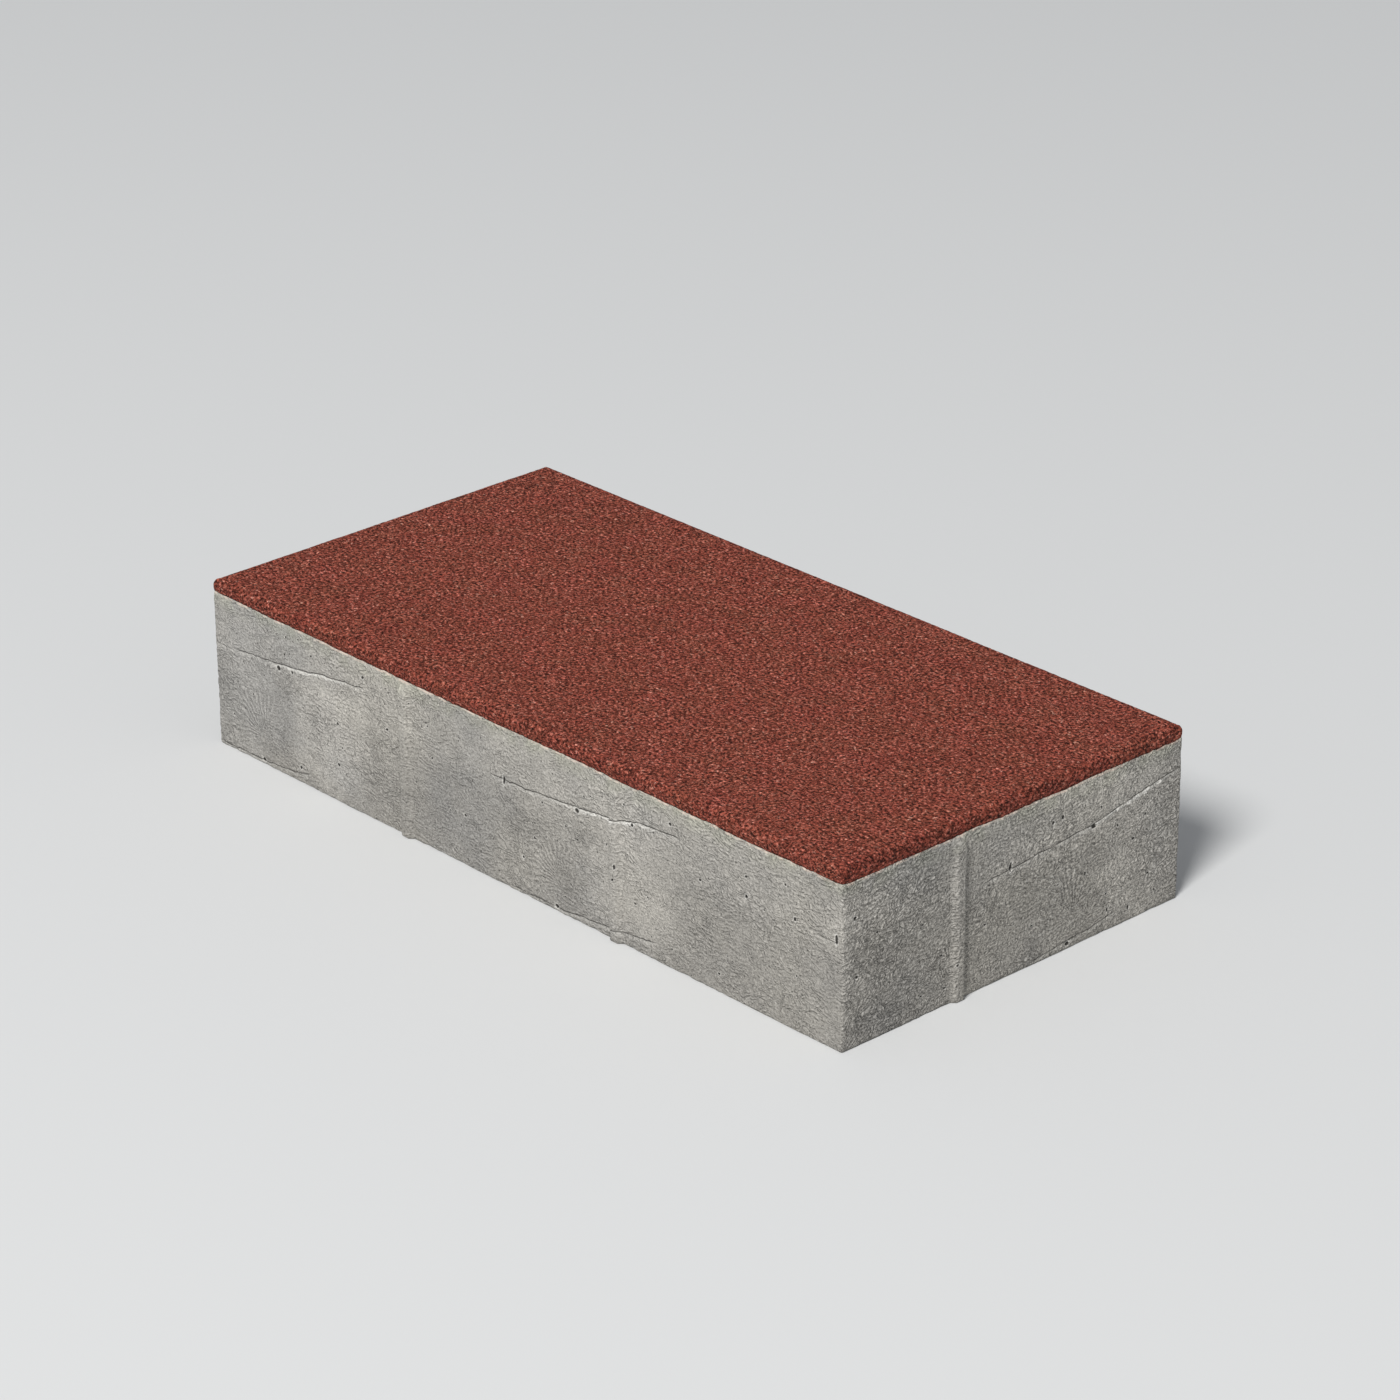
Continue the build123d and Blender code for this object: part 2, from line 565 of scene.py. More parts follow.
def nearest_score(co):
    """Gives the height over the nearest scored line, and how strongly that line is marked here."""
    wall, along = find_wall(co)
    best_gap, best_strength = NO_SCORE, 0.0
    for number, (weight, points) in enumerate(SCORED_LINES[wall]):
        height = line_height(points, along)
        if height is None:
            continue
        height += noise.noise(Vector((along / SCORE_WANDER_LENGTH, number, 0))) * SCORE_WANDER
        height += noise.noise(Vector((along / SCORE_TREMOR_LENGTH, number, 9))) * SCORE_TREMOR
        gap = co.z - height
        if abs(gap) < abs(best_gap):
            to_end = min(along - points[0][0] * MM, points[-1][0] * MM - along)
            patchy = 0.95 + 1.1 * noise.noise(Vector((along / SCORE_PATCH_LENGTH, number, 5)))
            best_gap = gap
            best_strength = weight * smooth_step(to_end / SCORE_FADE + 0.2) * min(max(patchy, 0.5), 1.0)
    return best_gap, best_strength


def lip_highlight_share(co):
    """How much of a pale lip, painted as a highlight, a scored line has here."""
    along = find_wall(co)[1] / MM
    share = max(smooth_step(1.4 - abs(along - place) / LIP_HALF_LENGTH) for place in LIP_PLACES)
    low, high = LIP_HEIGHTS
    return share * smooth_step((co.z / MM - low) / (high - low))


# %% [markdown]
# ## Pits
# A pit is only a few cells wide, so a colour stored on the vertices would be a blur. Each vertex stores
# the way to the nearest pit instead, in units of that pit's own radii. Between vertices this stays exact,
# and the material can draw a crisp pit where the length of it is under one. Pits keep apart, so that no
# cell lies between two of them.

# %% Scatter the pits
PIT_SPACING = 2.8 * MM
PIT_REACH = 0.9 * MM
PIT_SEARCH = 3 * MM
FAR_FROM_PITS = Vector((0, 0, 9))
SLOT_RADII = (0.34 * MM, 0.95 * MM)
PLACED_PIT_HEIGHT = 0.8
SMALLEST_PIT = 0.12 * MM
PIT_SPREAD = 0.26 * MM
TALL_PIT_CHANCE = 0.2
TALL_PIT_SHAPE = 1.9
ALL_PITS = 330
WALL_MARGIN = 2 * MM
pit_draw = random.Random(5)


def wall_point(wall, along, height):
    """A point on a wall, from how far right of its middle it lies, seen from outside, and how high."""
    return {
        "front": Vector((along, -HALF_WIDTH, height)),
        "back": Vector((-along, HALF_WIDTH, height)),
        "right": Vector((HALF_LENGTH, along, height)),
        "left": Vector((-HALF_LENGTH, -along, height)),
    }[wall]


def draw_radii():
    """Half the width and half the height of a pit. Most are small and round, and a few are tall."""
    radius = SMALLEST_PIT + PIT_SPREAD * pit_draw.random() ** 3
    tall = TALL_PIT_SHAPE if pit_draw.random() < TALL_PIT_CHANCE else 1.0
    return radius / math.sqrt(tall), radius * math.sqrt(tall)


pits = []
for wall in ("front", "right", "back", "left"):
    mirror = -1 if wall in WALL_TWINS else 1
    seen = WALL_TWINS.get(wall, wall)
    for along, height, radius in PLACED_PITS[seen]:
        spot = wall_point(wall, mirror * along * MM, height * MM)
        pits.append((wall, spot, (radius * MM, PLACED_PIT_HEIGHT * radius * MM)))
    for along, height in PLACED_SLOTS[seen]:
        spot = wall_point(wall, mirror * along * MM, height * MM)
        pits.append((wall, spot, SLOT_RADII))
while len(pits) < ALL_PITS:
    wall = pit_draw.choice(("front", "front", "right", "back", "back", "left"))
    half_wall = HALF_LENGTH if wall in ("front", "back") else HALF_WIDTH
    along = pit_draw.uniform(-half_wall + WALL_MARGIN, half_wall - WALL_MARGIN)
    spot = wall_point(wall, along, pit_draw.uniform(WALL_MARGIN, SEAM - WALL_MARGIN))
    if all((spot - other).length > PIT_SPACING for _, other, _ in pits):
        pits.append((wall, spot, draw_radii()))
pit_tree = kdtree.KDTree(len(pits))
for number, (_, spot, _) in enumerate(pits):
    pit_tree.insert(spot, number)
pit_tree.balance()
print(len(pits), "pits")


def way_to_pit(co):
    """The way from the nearest pit, along the wall and up it, in that pit's radii."""
    spot, number, _ = pit_tree.find(co)
    wall, _, (half_wide, half_tall) = pits[number]
    across = co.x - spot.x if wall in ("front", "back") else co.y - spot.y
    up = co.z - spot.z
    on_this_wall = (co - spot).length <= PIT_SEARCH
    if math.hypot(across, up) > max(half_wide, half_tall) + PIT_REACH or not on_this_wall:
        return FAR_FROM_PITS
    return Vector((across / half_wide, up / half_tall, 0))


# %% [markdown]
# ## Fans and tones
# Where a lump of mix slid as the mould was drawn off, it left a fan of fine ridges. Each vertex stores
# the way to the nearest fan's middle, and the material draws the ridges. The tones of the walls are
# placed too. The upper part of each wall is lighter than the lower part. The mix fell in heaps of other
# moisture, which show as light and dark patches.

# %% Place the fans and the tones
FANS = {"front": ((-82.2, 7.0), (16.8, 7.0)), "right": ((17.0, 7.0),)}
FAN_REACH = 16 * MM
FAR_FROM_FANS = Vector((0, 0, 99))
NIB_HALF_BASE = 2.0 * MM
SIDE_NIB_PLACE = 33.35 * MM
END_NIB_PLACE = 16.7 * MM
# The ends get the most, as painted light and shade where the lamp grazes them.
CRUMPLE_ON_SIDES = 0.70
CRUMPLE_ON_ENDS = 1.10
CRUMPLE_ON_NIBS = 0.85
TONE_ABOVE = 1.09
TONE_BELOW = 0.89
TONE_CHANGE = (19 * MM, 27 * MM)
TONE_WANDER_LENGTH = 6 * MM
TONE_WANDER = 3 * MM
UNDERSIDE_BAND = 0.1 * MM
# Where a patch is along its wall and up it, its half width and half height, and how much lighter it is
TONE_PATCHES = (
    (-60, 14, 13, 14, 0.31), (37, 13, 13, 14, 0.21), (-90, 10, 12, 15, 0.17), (8, 9, 24, 15, 0.05),
    (-66, 32, 12, 6, 0.07), (33, 31, 10, 6, 0.08), (-20, 31, 12, 6, -0.09), (53, 31, 5, 6, -0.07),
    (-90, 27, 11, 10, 0.11), (-81, 15, 8, 8, 0.10), (86, 32, 11, 7, -0.09), (-95, 16, 3, 3, -0.10),
    (3.4, 15.8, 3, 3, -0.10), (25, 20, 4, 3, -0.07), (-81.5, 6, 3, 6, -0.10), (17.4, 6, 3, 6, -0.10),
)
print(sum(len(middles) for middles in FANS.values()), "fans and", len(TONE_PATCHES), "patches")


def way_to_fan(co):
    """The way from the nearest fan's middle, along the wall and up it, in millimetres."""
    wall, along = find_wall(co)
    ways = [Vector((along / MM - at, co.z / MM - height, 0)) for at, height in FANS[wall]]
    nearest = min(ways, key=lambda way: way.length)
    return nearest if nearest.length * MM < FAN_REACH else FAR_FROM_FANS


def nib_offset(co):
    """How far along its wall a point lies from the middle of the nearest nib."""
    if find_wall(co)[0] == "front":
        return abs(abs(co.x) - SIDE_NIB_PLACE)
    return abs(co.y + math.copysign(END_NIB_PLACE, co.x))


def wall_crumple(co):
    """How crumpled the skin is drawn: most on the ends, which carry more painted light and shade because
    the lamp grazes them, and less in the nib slots, where the mix stays smooth.
    """
    crumple = CRUMPLE_ON_SIDES if find_wall(co)[0] == "front" else CRUMPLE_ON_ENDS
    return crumple * (CRUMPLE_ON_NIBS if nib_offset(co) < NIB_HALF_BASE else 1.0)


def wall_tone(co):
    """How light the paste is here. The underside has no patches."""
    wall, along = find_wall(co)
    if co.z < UNDERSIDE_BAND:
        return TONE_BELOW
    low, high = TONE_CHANGE
    tone = TONE_BELOW + (TONE_ABOVE - TONE_BELOW) * smooth_step((co.z - low) / (high - low))
    along += noise.noise(co / TONE_WANDER_LENGTH) * TONE_WANDER
    up = co.z + noise.noise(co / TONE_WANDER_LENGTH + Vector((4, 4, 4))) * TONE_WANDER
    for at, height, half_wide, half_tall, change in TONE_PATCHES:
        reach = math.hypot((along / MM - at) / half_wide, (up / MM - height) / half_tall)
        tone += change * smooth_step((1.35 - reach) / 0.75)
    return tone


# %% [markdown]
# ## The grey concrete
# The walls slid along the steel of the mould. Cement paste smeared over them in level ripples, rough in
# some patches and smooth in others. The nibs are part of the same mix, so they are pushed out of the same
# grid.

# %% Make the nibs
NIB_HALF_LAND = 1.0 * MM
NIB_TOP = SEAM - 0.3 * MM
NIB_RUN_OUT = 2.2 * MM


def push_nibs(block):
    """Pushes the walls out at the nibs, with sloping flanks and a run-out at the top."""
    for vert in block.verts:
        on_side = HALF_WIDTH - abs(vert.co.y) < UNDERSIDE_EDGE_RADIUS
        on_end = HALF_LENGTH - abs(vert.co.x) < UNDERSIDE_EDGE_RADIUS
        if on_side == on_end:
            continue
        axis = 1 if on_side else 0
        flank = min(max((NIB_HALF_BASE - nib_offset(vert.co)) / (NIB_HALF_BASE - NIB_HALF_LAND), 0.0), 1.0)
        run_out = min(max((NIB_TOP - vert.co.z) / NIB_RUN_OUT, 0.0), 1.0)
        vert.co[axis] += math.copysign(flank * run_out * NIB_REACH, vert.co[axis])


# %% [markdown]
# ## The skin of the walls
# The skin has slow waves, level ripples and lumps, which are rougher in some patches. The scored lines
# and the larger pits are deep enough to be real hollows, and the edges have lost small chips. Each kind
# is a function that gives a depth, so that one kind can be changed and looked at by itself.

# %% Shape the skin of the walls
WAVE_LENGTH = 15 * MM
WAVE_HEIGHT = 0.12 * MM
ROUGH_PATCH = 11 * MM
RIPPLE_LENGTH = 2.4 * MM
RIPPLE_HEIGHT = 0.16 * MM
LUMP_LENGTH = 1.5 * MM
LUMP_HEIGHT = 0.10 * MM
LEVEL_SQUASH = (1, 1, 2)
ROUGHNESS_ON_NIBS = 0.25
ON_NIB_FROM = 0.1 * MM


def skin_relief(co):
    """Waves, and ripples and lumps that are rougher in patches and smoother on the nibs."""
    rough = smooth_step(0.5 + 1.4 * noise.noise(co / ROUGH_PATCH + Vector((7, 3, 1))))
    squashed = Vector(value * squash for value, squash in zip(co, LEVEL_SQUASH))
    ripple = (0.35 - abs(noise.noise(squashed / RIPPLE_LENGTH))) * RIPPLE_HEIGHT
    lumps = noise.noise(squashed / LUMP_LENGTH) * LUMP_HEIGHT
    on_nib = max(abs(co.x) - HALF_LENGTH, abs(co.y) - HALF_WIDTH) > ON_NIB_FROM
    share = ROUGHNESS_ON_NIBS if on_nib else 0.45 + 0.75 * rough
    return noise.noise(co / WAVE_LENGTH) * WAVE_HEIGHT + (ripple + lumps) * share


# %% Sink the marks and chip the edges
SCORE_DEPTH = 0.14 * MM
SCORE_REACH = 0.7 * MM
LIP_HEIGHT = 0.4 * SCORE_DEPTH
LIP_DROP = 1.1 * MM
PIT_DEPTH = 0.30 * MM
CHIP_DEPTH = 0.35 * MM
CHIP_REACH = 1.5 * MM
CHIP_LENGTH = 3.5 * MM
GREY_INSET = 0.05 * MM


def mark_relief(co):
    """The scored lines with the lips below them, and the pits."""
    gap, strength = nearest_score(co)
    groove = SCORE_DEPTH * strength * max(0.0, 1 - abs(gap) / SCORE_REACH)
    lip = LIP_HEIGHT * strength * max(0.0, 1 - abs(gap + LIP_DROP) / SCORE_REACH)
    pit = PIT_DEPTH * smooth_step(1.5 - 0.75 * way_to_pit(co).length)
    return lip - groove - pit


def chip_relief(co):
    """Chips near an edge, where a point lies close under two of the outer faces."""
    to_edge = sorted((HALF_LENGTH - abs(co.x), HALF_WIDTH - abs(co.y), co.z))[1]
    if to_edge >= CHIP_REACH:
        return 0.0
    chip = max(0.0, noise.noise(co / CHIP_LENGTH) - 0.1)
    return -CHIP_DEPTH * chip * (1 - max(to_edge, 0.0) / CHIP_REACH)


def grey_relief(co, normal, height):
    relief = skin_relief(co) + crease(height) - GREY_INSET
    if abs(normal.z) < 0.5:
        relief += mark_relief(co)
    elif normal.z < 0:
        relief = min(relief, 0.0)
    return relief + chip_relief(co)


# %% [markdown]
# ## The grey block
# The block is cut where the nibs begin and end, so that their flanks get straight edges. The walls show
# the relief, so their cells are halved once more. The hidden face in the seam becomes one flat polygon.

# %% Make the grey concrete
GREY_CELL = 1.1 * MM
EDGE_ROW = 0.6 * MM
backing = make_block(Vector((-HALF_LENGTH, -HALF_WIDTH, 0)), Vector((HALF_LENGTH, HALF_WIDTH, SEAM)))
nib_lines = (-NIB_HALF_BASE, -NIB_HALF_LAND, NIB_HALF_LAND, NIB_HALF_BASE)
cut_block(backing, 0, [side * (HALF_LENGTH - EDGE_ROW) for side in (-1, 1)])
cut_block(backing, 1, [side * (HALF_WIDTH - EDGE_ROW) for side in (-1, 1)])
cut_block(backing, 2, (EDGE_ROW, SEAM - EDGE_ROW))
cut_block(backing, 0, [side * SIDE_NIB_PLACE + line for side in (-1, 1) for line in nib_lines])
cut_block(backing, 1, [side * END_NIB_PLACE + line for side in (-1, 1) for line in nib_lines])
divide_block(backing, GREY_CELL)
join_hidden_face(backing, SEAM)
wall_edges = {edge for face in backing.faces if abs(face.normal.z) < 0.5 for edge in face.edges}
bmesh.ops.subdivide_edges(backing, edges=list(wall_edges), cuts=1, use_grid_fill=True)
backing_heights = number_vertices(backing)
round_block(backing, 0.0, UNDERSIDE_EDGE_RADIUS, -1)
print("the grey block has", len(backing.verts), "vertices")

# %% [markdown]
# ## Marks that the material needs
# The material draws the fine part of each mark, so the mesh hands it for each vertex how far below the
# seam it was, how far it is from a scored line, the ways to its pit and its fan, its tone, and how crumpled
# it is. A texture image could hold that, but it would need many more pixels than there are vertices.

# %% Store the marks on the mesh
SCORE_HALF_WIDTH = 0.16 * MM
FAINT_LIP = 0.25
SEAM_MOVES_FROM = SEAM - 4 * MM
seam_layer = backing.verts.layers.float.new("below_seam")
gap_layer = backing.verts.layers.float.new("score_gap")
strength_layer = backing.verts.layers.float.new("score_strength")
lip_layer = backing.verts.layers.float.new("lip_highlight_strength")
pit_layer = backing.verts.layers.float_vector.new("way_to_pit")
fan_layer = backing.verts.layers.float_vector.new("way_to_fan")
tone_layer = backing.verts.layers.float.new("tone")
crumple_layer = backing.verts.layers.float.new("crumple")
for vert in backing.verts:
    gap, strength = nearest_score(vert.co)
    vert[seam_layer] = (SEAM - backing_heights[vert.index]) / MM
    vert[gap_layer] = gap / SCORE_HALF_WIDTH
    vert[strength_layer] = strength
    vert[lip_layer] = strength * (FAINT_LIP + (1 - FAINT_LIP) * lip_highlight_share(vert.co))
    vert[pit_layer] = way_to_pit(vert.co)
    vert[fan_layer] = way_to_fan(vert.co)
    vert[tone_layer] = wall_tone(vert.co)
    vert[crumple_layer] = wall_crumple(vert.co)
push_nibs(backing)
move_seam(backing, SEAM_MOVES_FROM)
push_surface(backing, backing_heights, grey_relief)
print(len(backing.verts.layers.float) + len(backing.verts.layers.float_vector), "kinds of marks stored")

# %% [markdown]
# ## The grey concrete's paste
# Grey concrete is never one grey. Clouds of it are bluer and darker where the paste is dense, and warmer
# and lighter where it is dry. The mould left level smears and upright streaks on them. A picture could be
# painted for this, but noise that reads the object's coordinates runs round the corners without a break.

# %% Mix the paste
GREY_BLUE = (0.326, 0.316, 0.294)
GREY_BODY = (0.367, 0.351, 0.318)
GREY_WARM = (0.408, 0.389, 0.347)
HEAP_SIZE = 30 * MM
STREAK_SIZE = 7 * MM
SMEAR_SIZE = 6 * MM
LEVEL = (1, 1, 1.4)
UPRIGHT = (1, 1, 0.35)


def read_mark(tree, name):
    """Reads what the mesh stores under this name."""
    return add_node(tree, "ShaderNodeAttribute", {}, attribute_name=name)


def paste_colour(tree, place, level):
    heaps = cloud(tree, place, HEAP_SIZE, 3.0, 0.55)
    colour = ramp(tree, heaps, (0.34, GREY_BLUE), (0.5, GREY_BODY), (0.66, GREY_WARM))
    colour = blend(tree, 1.0, colour, read_mark(tree, "tone").outputs["Color"], "MULTIPLY")
    streaks = cloud(tree, stretch(tree, place, UPRIGHT), STREAK_SIZE, 2.0, 0.5)
    colour = shade(tree, colour, streaks, (0.35, 0.95), (0.65, 1.0))
    smears = cloud(tree, level, SMEAR_SIZE, 3.0, 0.5)
    return shade(tree, colour, smears, (0.33, 0.91), (0.67, 1.0))


# %% [markdown]
# ## Ridges in the skin
# Fine ridges cross the skin. Some are curly wrinkles, drawn as the level lines of a slow noise. Some are
# level ripples, drawn by a Wave texture. A fan has rays round its middle, from a radial Gradient texture
# that reads the way stored on the mesh. Real ridges come and go, so each kind is faded by a share.

# %% Draw wrinkles and cracks
WRINKLE_CLOUD = 4.0 * MM
WRINKLE_LINES = 8.0


def fade(tree, value, share):
    """Turns a value from -1 to 1 into one from 0 to 1, drawn to 0.5 where its share is small."""
    return calculate(tree, "MULTIPLY_ADD", calculate(tree, "MULTIPLY", value, share), 0.5, 0.5)


def wrinkle_lines(tree, place):
    """Curly ridges about a millimetre apart: the level lines of a slow noise, from -1 to 1."""
    slow = cloud(tree, place, WRINKLE_CLOUD, 1.0, 0.5, distortion=0.5)
    return calculate(tree, "SINE", calculate(tree, "MULTIPLY", slow, WRINKLE_LINES * math.tau))


def crest_lines(tree, value, width):
    """Thin lines where a noise crosses its middle value, one on the line and nought a width away."""
    off_middle = calculate(tree, "ABSOLUTE", calculate(tree, "SUBTRACT", value, 0.5))
    return calculate(tree, "MAXIMUM", calculate(tree, "MULTIPLY_ADD", off_middle, -1 / width, 1.0), 0.0)


# %% Draw ripples and fans
RIPPLE_PITCH = 1.0 * MM
RIPPLE_PATCH = 9 * MM
# How wide one band of a Wave texture is at a scale of 1
WAVE_BAND = 0.314
FAN_RIDGES = 38
FAN_WANDER = 11.0
FAN_DIRECTION = (-0.7, 0.71, 0.0)
FAN_SPAN_MM = 20.0


def level_ripples(tree, place, crumple):
    scale = WAVE_BAND / RIPPLE_PITCH
    inputs = {"Vector": place, "Scale": scale, "Distortion": 14.0, "Detail Scale": 0.6}
    ripples = add_node(tree, "ShaderNodeTexWave", inputs, bands_direction="Z").outputs["Fac"]
    patches = ramp(tree, cloud(tree, place, RIPPLE_PATCH, 2.0, 0.5), (0.48, 0.0), (0.60, 0.85))
    patches = calculate(tree, "MULTIPLY", patches, crumple)
    return fade(tree, calculate(tree, "MULTIPLY_ADD", ripples, 2.0, -1.0), patches)


def fan_rays(tree, way, wander):
    """Rays round a fan's middle. The wander, a noise, bends them."""
    turn = add_node(tree, "ShaderNodeTexGradient", {"Vector": way}, gradient_type="RADIAL").outputs["Fac"]
    bend = calculate(tree, "MULTIPLY", wander, FAN_WANDER)
    phase = calculate(tree, "MULTIPLY_ADD", turn, FAN_RIDGES * math.tau, bend)
    return calculate(tree, "MULTIPLY_ADD", calculate(tree, "SINE", phase), 0.5, 0.5)


def fan_share(tree, way):
    """How much of a fan there is: a ring round its middle, strongest on the side that it opens to."""
    reach = calculate(tree, "DIVIDE", length_of(tree, way), FAN_SPAN_MM)
    ring = ramp(tree, reach, (0.05, 0.0), (0.18, 0.85), (0.45, 0.85), (0.70, 0.0))
    heading = add_node(tree, "ShaderNodeVectorMath", {0: way}, operation="NORMALIZE").outputs["Vector"]
    inputs = {0: heading, 1: FAN_DIRECTION}
    facing = add_node(tree, "ShaderNodeVectorMath", inputs, operation="DOT_PRODUCT").outputs["Value"]
    return calculate(tree, "MULTIPLY", ring, ramp(tree, facing, (0.0, 0.15), (0.6, 1.0)))


# %% [markdown]
# ## The skin's colour and its painted light
# Each mark is a value that shades the paste through a ramp. Part of this is the paste's own mottle, and
# part is painted light and shade: the crests of the skin are painted pale, and its hollows and cracks dark,
# as a low lamp would light them. A fixed factor makes good the light that all the ramps took together.
# The bump reads the same marks later, so that light and colour agree.

# %% Make the marks of the skin
SKIN_SIZE = 1.4 * MM
SKIN_PATCH = 13 * MM
FAN_BEND_LENGTH = 3 * MM
CRACK_CLOUD = 2.6 * MM
CRACK_WIDTH = 0.06
GRIT_SIZE = 0.48 * MM


def skin_marks(tree, place, level):
    """Gives the marks of the skin by name, and how rough it is."""
    crumple = read_mark(tree, "crumple").outputs["Fac"]
    rough = ramp(tree, cloud(tree, place, SKIN_PATCH, 3.0, 0.6), (0.38, 0.40), (0.58, 1.0))
    rough = calculate(tree, "MULTIPLY", rough, crumple)
    way = read_mark(tree, "way_to_fan").outputs["Vector"]
    in_fan = fan_share(tree, way)
    rays = fan_rays(tree, way, cloud(tree, place, FAN_BEND_LENGTH, 1.0, 0.5))
    inputs = {0: in_fan, 2: level_ripples(tree, place, crumple), 3: rays}
    off_fan = calculate(tree, "MULTIPLY_ADD", in_fan, -0.75, 1.0)
    cracks = cloud(tree, level, CRACK_CLOUD, 1.0, 0.5, distortion=0.8)
    grit = calculate(tree, "MULTIPLY_ADD", cloud(tree, level, GRIT_SIZE, 1.0, 0.6), 2.0, -1.0)
    return {
        "rough": rough,
        "skin": cloud(tree, level, SKIN_SIZE, 2.0, 0.55, distortion=0.5),
        "combed": add_node(tree, "ShaderNodeMix", inputs).outputs[0],
        "wrinkles": fade(tree, wrinkle_lines(tree, level), calculate(tree, "MULTIPLY", rough, off_fan)),
        "cracks": calculate(tree, "MULTIPLY", crest_lines(tree, cracks, CRACK_WIDTH), rough),
        "grit": fade(tree, grit, crumple),
    }


# %% Colour the skin and paint its light and shade
# A pale colour for painted highlights: on the lips of scored lines, on the rims of pits, and as glints.
PAINTED_HIGHLIGHT_COLOUR = (0.780, 0.755, 0.700)
GREY_BRIGHTENING = (2.18, 2.16, 2.16)
FLECK_SIZE = 0.70 * MM
SKIN_MOTTLE_AND_PAINTED_LIGHT = {
    "skin": ((0.30, 0.91), (0.50, 0.95), (0.70, 1.0)),
    "wrinkles": ((0.0, 0.77), (0.55, 0.86), (1.0, 1.0)),
    "cracks": ((0.0, 1.0), (1.0, 0.79)),
    "combed": ((0.0, 0.72), (1.0, 1.0)),
    "grit": ((0.28, 0.32), (0.72, 1.0)),
}


def colour_skin_and_paint_light(tree, colour, level, marks):
    for name, stops in SKIN_MOTTLE_AND_PAINTED_LIGHT.items():
        colour = shade(tree, colour, marks[name], *stops)
    colour = brighten(tree, colour, GREY_BRIGHTENING)
    flecks = cloud(tree, level, FLECK_SIZE, 2.0, 0.6)
    colour = shade(tree, colour, flecks, (0.26, 0.70), (0.38, 1.0))
    # The high tail of the flecks is painted pale: painted glints of small facets that face the lamp, more
    # where the skin is rough.
    pale = calculate(tree, "MULTIPLY", ramp(tree, flecks, (0.60, 0.0), (0.72, 0.5)), marks["rough"])
    return blend(tree, pale, colour, PAINTED_HIGHLIGHT_COLOUR)


# %% [markdown]
# ## Scored lines and pits up close
# The mesh says how far each point is from a line or a pit. Ramps turn that into a crisp groove painted dark
# as shadow, with a torn lip painted pale as highlight, and into holes painted dark as shadow, with a ragged
# rim painted pale as highlight. Pinholes are too many to place, so a Voronoi texture scatters them.

# %% Draw the lines and the pits
GAP_SPAN = 24
PIT_SPAN = 3.0
PINHOLE_SPACING = 1.9 * MM


def score_marks(tree, skin):
    """Gives the groove of a scored line, painted dark as shadow, and the lip below it, painted pale as
    highlight, which the skin tears into pieces.
    """
    gap = read_mark(tree, "score_gap").outputs["Fac"]
    gap_share = calculate(tree, "MULTIPLY_ADD", gap, 1 / GAP_SPAN, 0.5)
    groove = ramp(tree, gap_share, (0.465, 0.0), (0.49, 1.0), (0.51, 1.0), (0.535, 0.0))
    groove = calculate(tree, "MULTIPLY", groove, read_mark(tree, "score_strength").outputs["Fac"])
    lip_edge = calculate(tree, "MULTIPLY_ADD", skin, 0.5, calculate(tree, "SUBTRACT", gap_share, 0.25))
    lip = ramp(tree, lip_edge, (0.24, 0.0), (0.38, 1.0), (0.44, 1.0), (0.48, 0.0))
    lip = calculate(tree, "MULTIPLY", lip, ramp(tree, gap_share, (0.45, 1.0), (0.475, 0.0)))
    return groove, calculate(tree, "MULTIPLY", lip, read_mark(tree, "lip_highlight_strength").outputs["Fac"])


def pit_marks(tree, place, grit):
    """Gives the pits with the pinholes, painted dark as shadow, and the rims of the pits, painted pale as
    highlight, which the grit makes ragged.
    """
    pinholes = add_node(tree, "ShaderNodeTexVoronoi", {"Vector": place, "Scale": 1 / PINHOLE_SPACING})
    in_pinhole = ramp(tree, pinholes.outputs["Distance"], (0.05, 1.0), (0.11, 0.0))
    reach = length_of(tree, read_mark(tree, "way_to_pit").outputs["Vector"])
    ragged = calculate(tree, "DIVIDE", calculate(tree, "MULTIPLY_ADD", grit, 0.8, reach), PIT_SPAN)
    in_pit = ramp(tree, ragged, (0.40, 1.0), (0.50, 0.0))
    rim = ramp(tree, ragged, (0.50, 0.0), (0.56, 0.6), (0.64, 0.4), (0.80, 0.0))
    return calculate(tree, "MAXIMUM", in_pit, calculate(tree, "MULTIPLY", in_pinhole, 0.6)), rim


# %% [markdown]
# ## The paste under the facing
# Water from the facing seeped into the grey mix, so the paste right under it is a little green, in
# patches. The seam itself is a thin broken line of pale, reddish paste. Both follow the height that the
# mesh stores, which wanders with the seam.

# %% Tint the paste under the facing
SEAM_SPAN_MM = 6.0
DAMP_SIZE = 5 * MM
DAMP_TINT = (0.985, 1.01, 0.94)
SEAM_BREAK_SIZE = 2.4 * MM
SEAM_LINE_COLOUR = (0.670, 0.560, 0.470)


def colour_seam(tree, place, colour):
    depth = calculate(tree, "DIVIDE", read_mark(tree, "below_seam").outputs["Fac"], SEAM_SPAN_MM)
    damp = ramp(tree, cloud(tree, place, DAMP_SIZE, 2.0, 0.5), (0.42, 0.2), (0.58, 1.0))
    damp = calculate(tree, "MULTIPLY", damp, ramp(tree, depth, (0.1, 1.0), (0.7, 0.0)))
    colour = blend(tree, damp, colour, DAMP_TINT, "MULTIPLY")
    line = ramp(tree, depth, (0.0, 0.6), (0.02, 1.0), (0.05, 1.0), (0.09, 0.0))
    breaks = ramp(tree, cloud(tree, place, SEAM_BREAK_SIZE, 3.0, 0.6), (0.42, 0.1), (0.56, 1.0))
    return blend(tree, calculate(tree, "MULTIPLY", line, breaks), colour, SEAM_LINE_COLOUR)


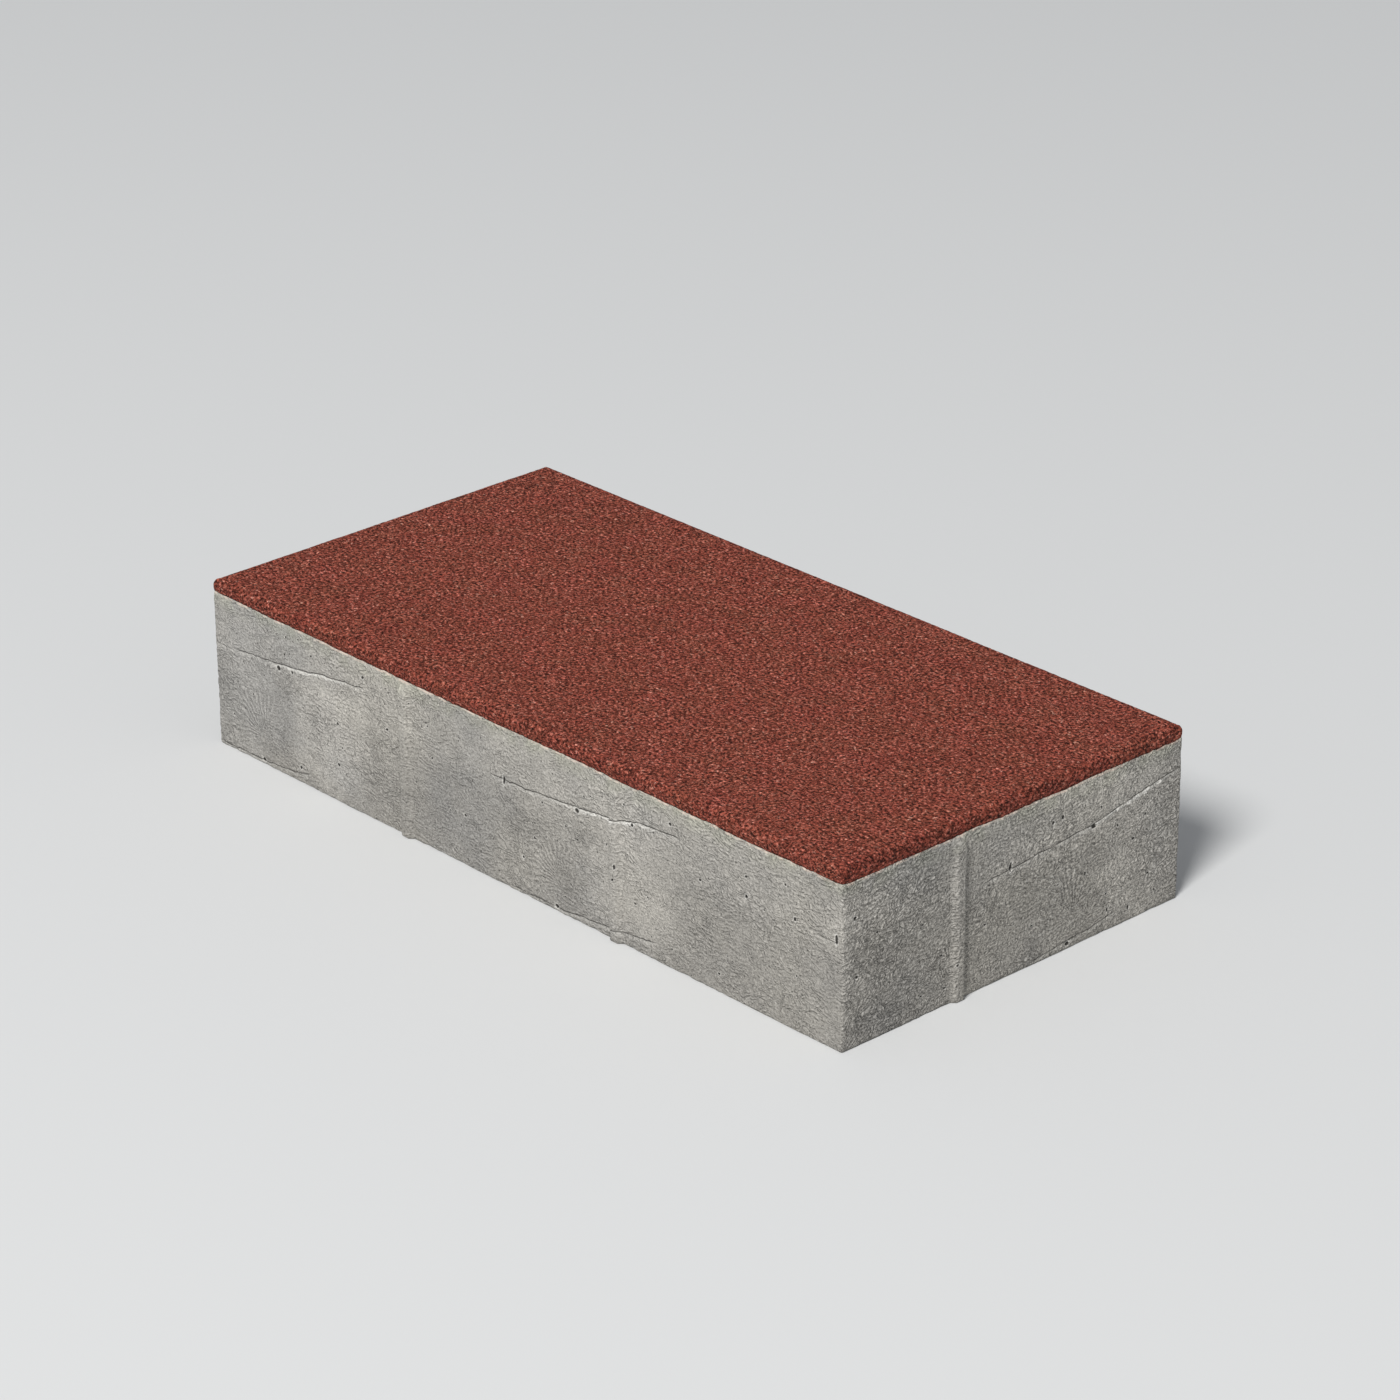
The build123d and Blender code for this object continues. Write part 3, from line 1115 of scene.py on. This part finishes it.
# %% [markdown]
# ## The whole grey material
# The layers go over each other in the order in which they came about: paste, skin, lips and grooves, then
# pits, and last the tint from the facing. The bump adds up the same marks, each with its own share of a
# millimetre.

# %% Make the grey piece
# Painted shadow: the grooves, pits and pinholes are filled with this near-black colour.
PAINTED_SHADOW_COLOUR = (0.050, 0.047, 0.042)
GREY_BUMP = 1.0 * MM
SKIN_HEIGHT = 0.36
MARK_HEIGHTS = {"wrinkles": 0.28, "cracks": -0.18, "combed": 0.20, "grit": 0.20}


def make_grey_material():
    material, tree, shader = new_material("pressed_grey_concrete", 0.9, 0.2)
    place = coordinates(tree)
    level = stretch(tree, place, LEVEL)
    marks = skin_marks(tree, place, level)
    groove, lip = score_marks(tree, marks["skin"])
    holes, rim = pit_marks(tree, place, marks["grit"])
    colour = colour_skin_and_paint_light(tree, paste_colour(tree, place, level), level, marks)
    # Painted highlight on the lips of the scored lines, and painted shadow in their grooves.
    colour = blend(tree, calculate(tree, "MULTIPLY", lip, 0.95), colour, PAINTED_HIGHLIGHT_COLOUR)
    colour = blend(tree, calculate(tree, "MULTIPLY", groove, 0.9), colour, PAINTED_SHADOW_COLOUR)
    # Painted highlight on the rims of the pits, and painted shadow in the pits and pinholes.
    colour = blend(tree, rim, colour, PAINTED_HIGHLIGHT_COLOUR)
    colour = blend(tree, holes, colour, PAINTED_SHADOW_COLOUR)
    tree.links.new(colour_seam(tree, place, colour), shader.inputs["Base Color"])
    height = calculate(tree, "MULTIPLY", marks["skin"], SKIN_HEIGHT)
    height = pile_up(tree, height, *[(marks[name], share) for name, share in MARK_HEIGHTS.items()])
    height = pile_up(tree, height, (holes, -0.5), (groove, -0.4), (lip, 0.15), (rim, 0.06))
    add_bump(tree, shader, height, GREY_BUMP)
    return material


finish_piece(backing, "grey_body", make_grey_material(), "grey_concrete")

# %% [markdown]
# ## The floor
# A photographer would roll out a sheet of paper. A large pale square does the same: it takes the stone's
# shadow and its edge is out of the picture. It is staging and no part of the stone.

# %% Lay the floor
FLOOR_HALF_SIZE = 8.0
FLOOR_COLOUR = (0.76, 0.76, 0.75, 1.0)
floor_mesh = bpy.data.meshes.new("floor")
floor_block = bmesh.new()
bmesh.ops.create_grid(floor_block, x_segments=1, y_segments=1, size=FLOOR_HALF_SIZE)
floor_block.to_mesh(floor_mesh)
floor_block.free()
floor = bpy.data.objects.new("floor", floor_mesh)
bpy.context.collection.objects.link(floor)
floor_material, _, floor_shader = new_material("floor", 0.9, 0.1)
floor_shader.inputs["Base Color"].default_value = FLOOR_COLOUR
floor_mesh.materials.append(floor_material)
print("the floor is", 2 * FLOOR_HALF_SIZE, "m wide")

# %% [markdown]
# ## The light
# One large soft lamp in front of the long side is the key: it lights that side most and grazes the short
# side, which shows its grain. A Sun lamp would throw sharp shadows, and several lamps would wash the
# grain out. The pale world fills the shadows.

# %% Hang the lamp and light the world
KEY_DIRECTION = Vector((0.29, -0.655, 0.70))
KEY_DISTANCE = 4.0
KEY_SIZE = 1.2
KEY_POWER = 147.0
WORLD_COLOUR = (0.90, 0.94, 1.0, 1.0)
WORLD_STRENGTH = 0.30
key = bpy.data.objects.new("key", bpy.data.lights.new("key", "AREA"))
bpy.context.collection.objects.link(key)
key.data.shape = "DISK"
key.data.size = KEY_SIZE
key.data.energy = KEY_POWER
key.location = KEY_DIRECTION.normalized() * KEY_DISTANCE
key.rotation_mode = "QUATERNION"
key.rotation_quaternion = KEY_DIRECTION.to_track_quat("Z", "Y")
world = bpy.data.worlds.new("studio")
bpy.context.scene.world = world
world.use_nodes = True
world.node_tree.nodes["Background"].inputs["Color"].default_value = WORLD_COLOUR
world.node_tree.nodes["Background"].inputs["Strength"].default_value = WORLD_STRENGTH
bpy.context.scene.view_settings.view_transform = "Standard"
key_height = math.degrees(math.asin(key.location.z / KEY_DISTANCE))
print("the key shines from", round(key_height), "degrees above the floor")
